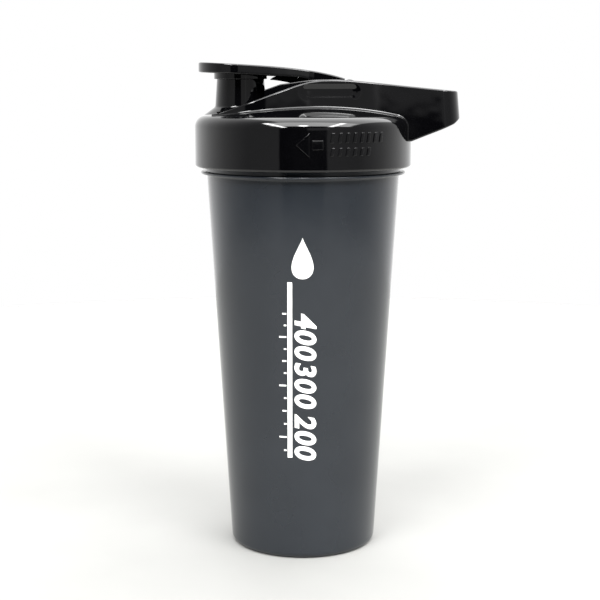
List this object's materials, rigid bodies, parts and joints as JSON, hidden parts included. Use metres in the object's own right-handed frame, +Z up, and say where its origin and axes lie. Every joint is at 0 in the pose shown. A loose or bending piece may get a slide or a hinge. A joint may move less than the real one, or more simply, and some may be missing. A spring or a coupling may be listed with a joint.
{
  "type": "protein shaker bottle",
  "caption": "Tapered shaker cup with a screw-on lid, drinking spout, flip cap hinged between the arms of a carry loop, and a mixing rod hung inside.",
  "frame": {"origin": "centre of the cup's foot, on the plane that the bottle stands on", "axes": "+Z up along the cup's axis, +X towards the carry loop, -X towards the spout, so the hinge axis runs along Y"},
  "size_m": [0.121, 0.1, 0.226],
  "materials": {
    "cup_plastic": "satin moulded polypropylene",
    "lid_plastic": "gloss black moulded plastic",
    "seal_rubber": "matt silicone",
    "mixer_plastic": "satin moulded polypropylene"
  },
  "bodies": {
    "cup_body": {"cup": "cup_plastic"},
    "gasket_body": {"lid_gasket": "seal_rubber"},
    "lid_body": {"lid_shell": "lid_plastic", "carry_handle": "lid_plastic"},
    "cap_body": {"flip_cap": "lid_plastic", "spout_seal": "seal_rubber"},
    "mixer_body": {"mixing_rod": "mixer_plastic", "mixing_head": "mixer_plastic"}
  },
  "joints": [
    {"name": "lid_lift", "type": "slide", "parent": "cup_body", "child": "gasket_body", "axis": [0, 0, 1], "range_m": [0, 0.0063]},
    {"name": "lid_twist", "type": "hinge", "parent": "gasket_body", "child": "lid_body", "pos_m": [0, 0, 0.199], "axis": [0, 0, 1], "range_deg": [0, 450]},
    {"name": "cap_hinge", "type": "hinge", "parent": "lid_body", "child": "cap_body", "pos_m": [0.02084, 0, 0.21436], "axis": [0, 1, 0], "range_deg": [0, 140]},
    {"name": "mixer_spin", "type": "hinge", "parent": "lid_body", "child": "mixer_body", "pos_m": [0, 0, 0.19], "axis": [0, 0, 1], "continuous": true}
  ],
  "couplings": [
    {"joint": "lid_lift", "follows": "lid_twist", "m_per_rad": 0.00079577}
  ]
}
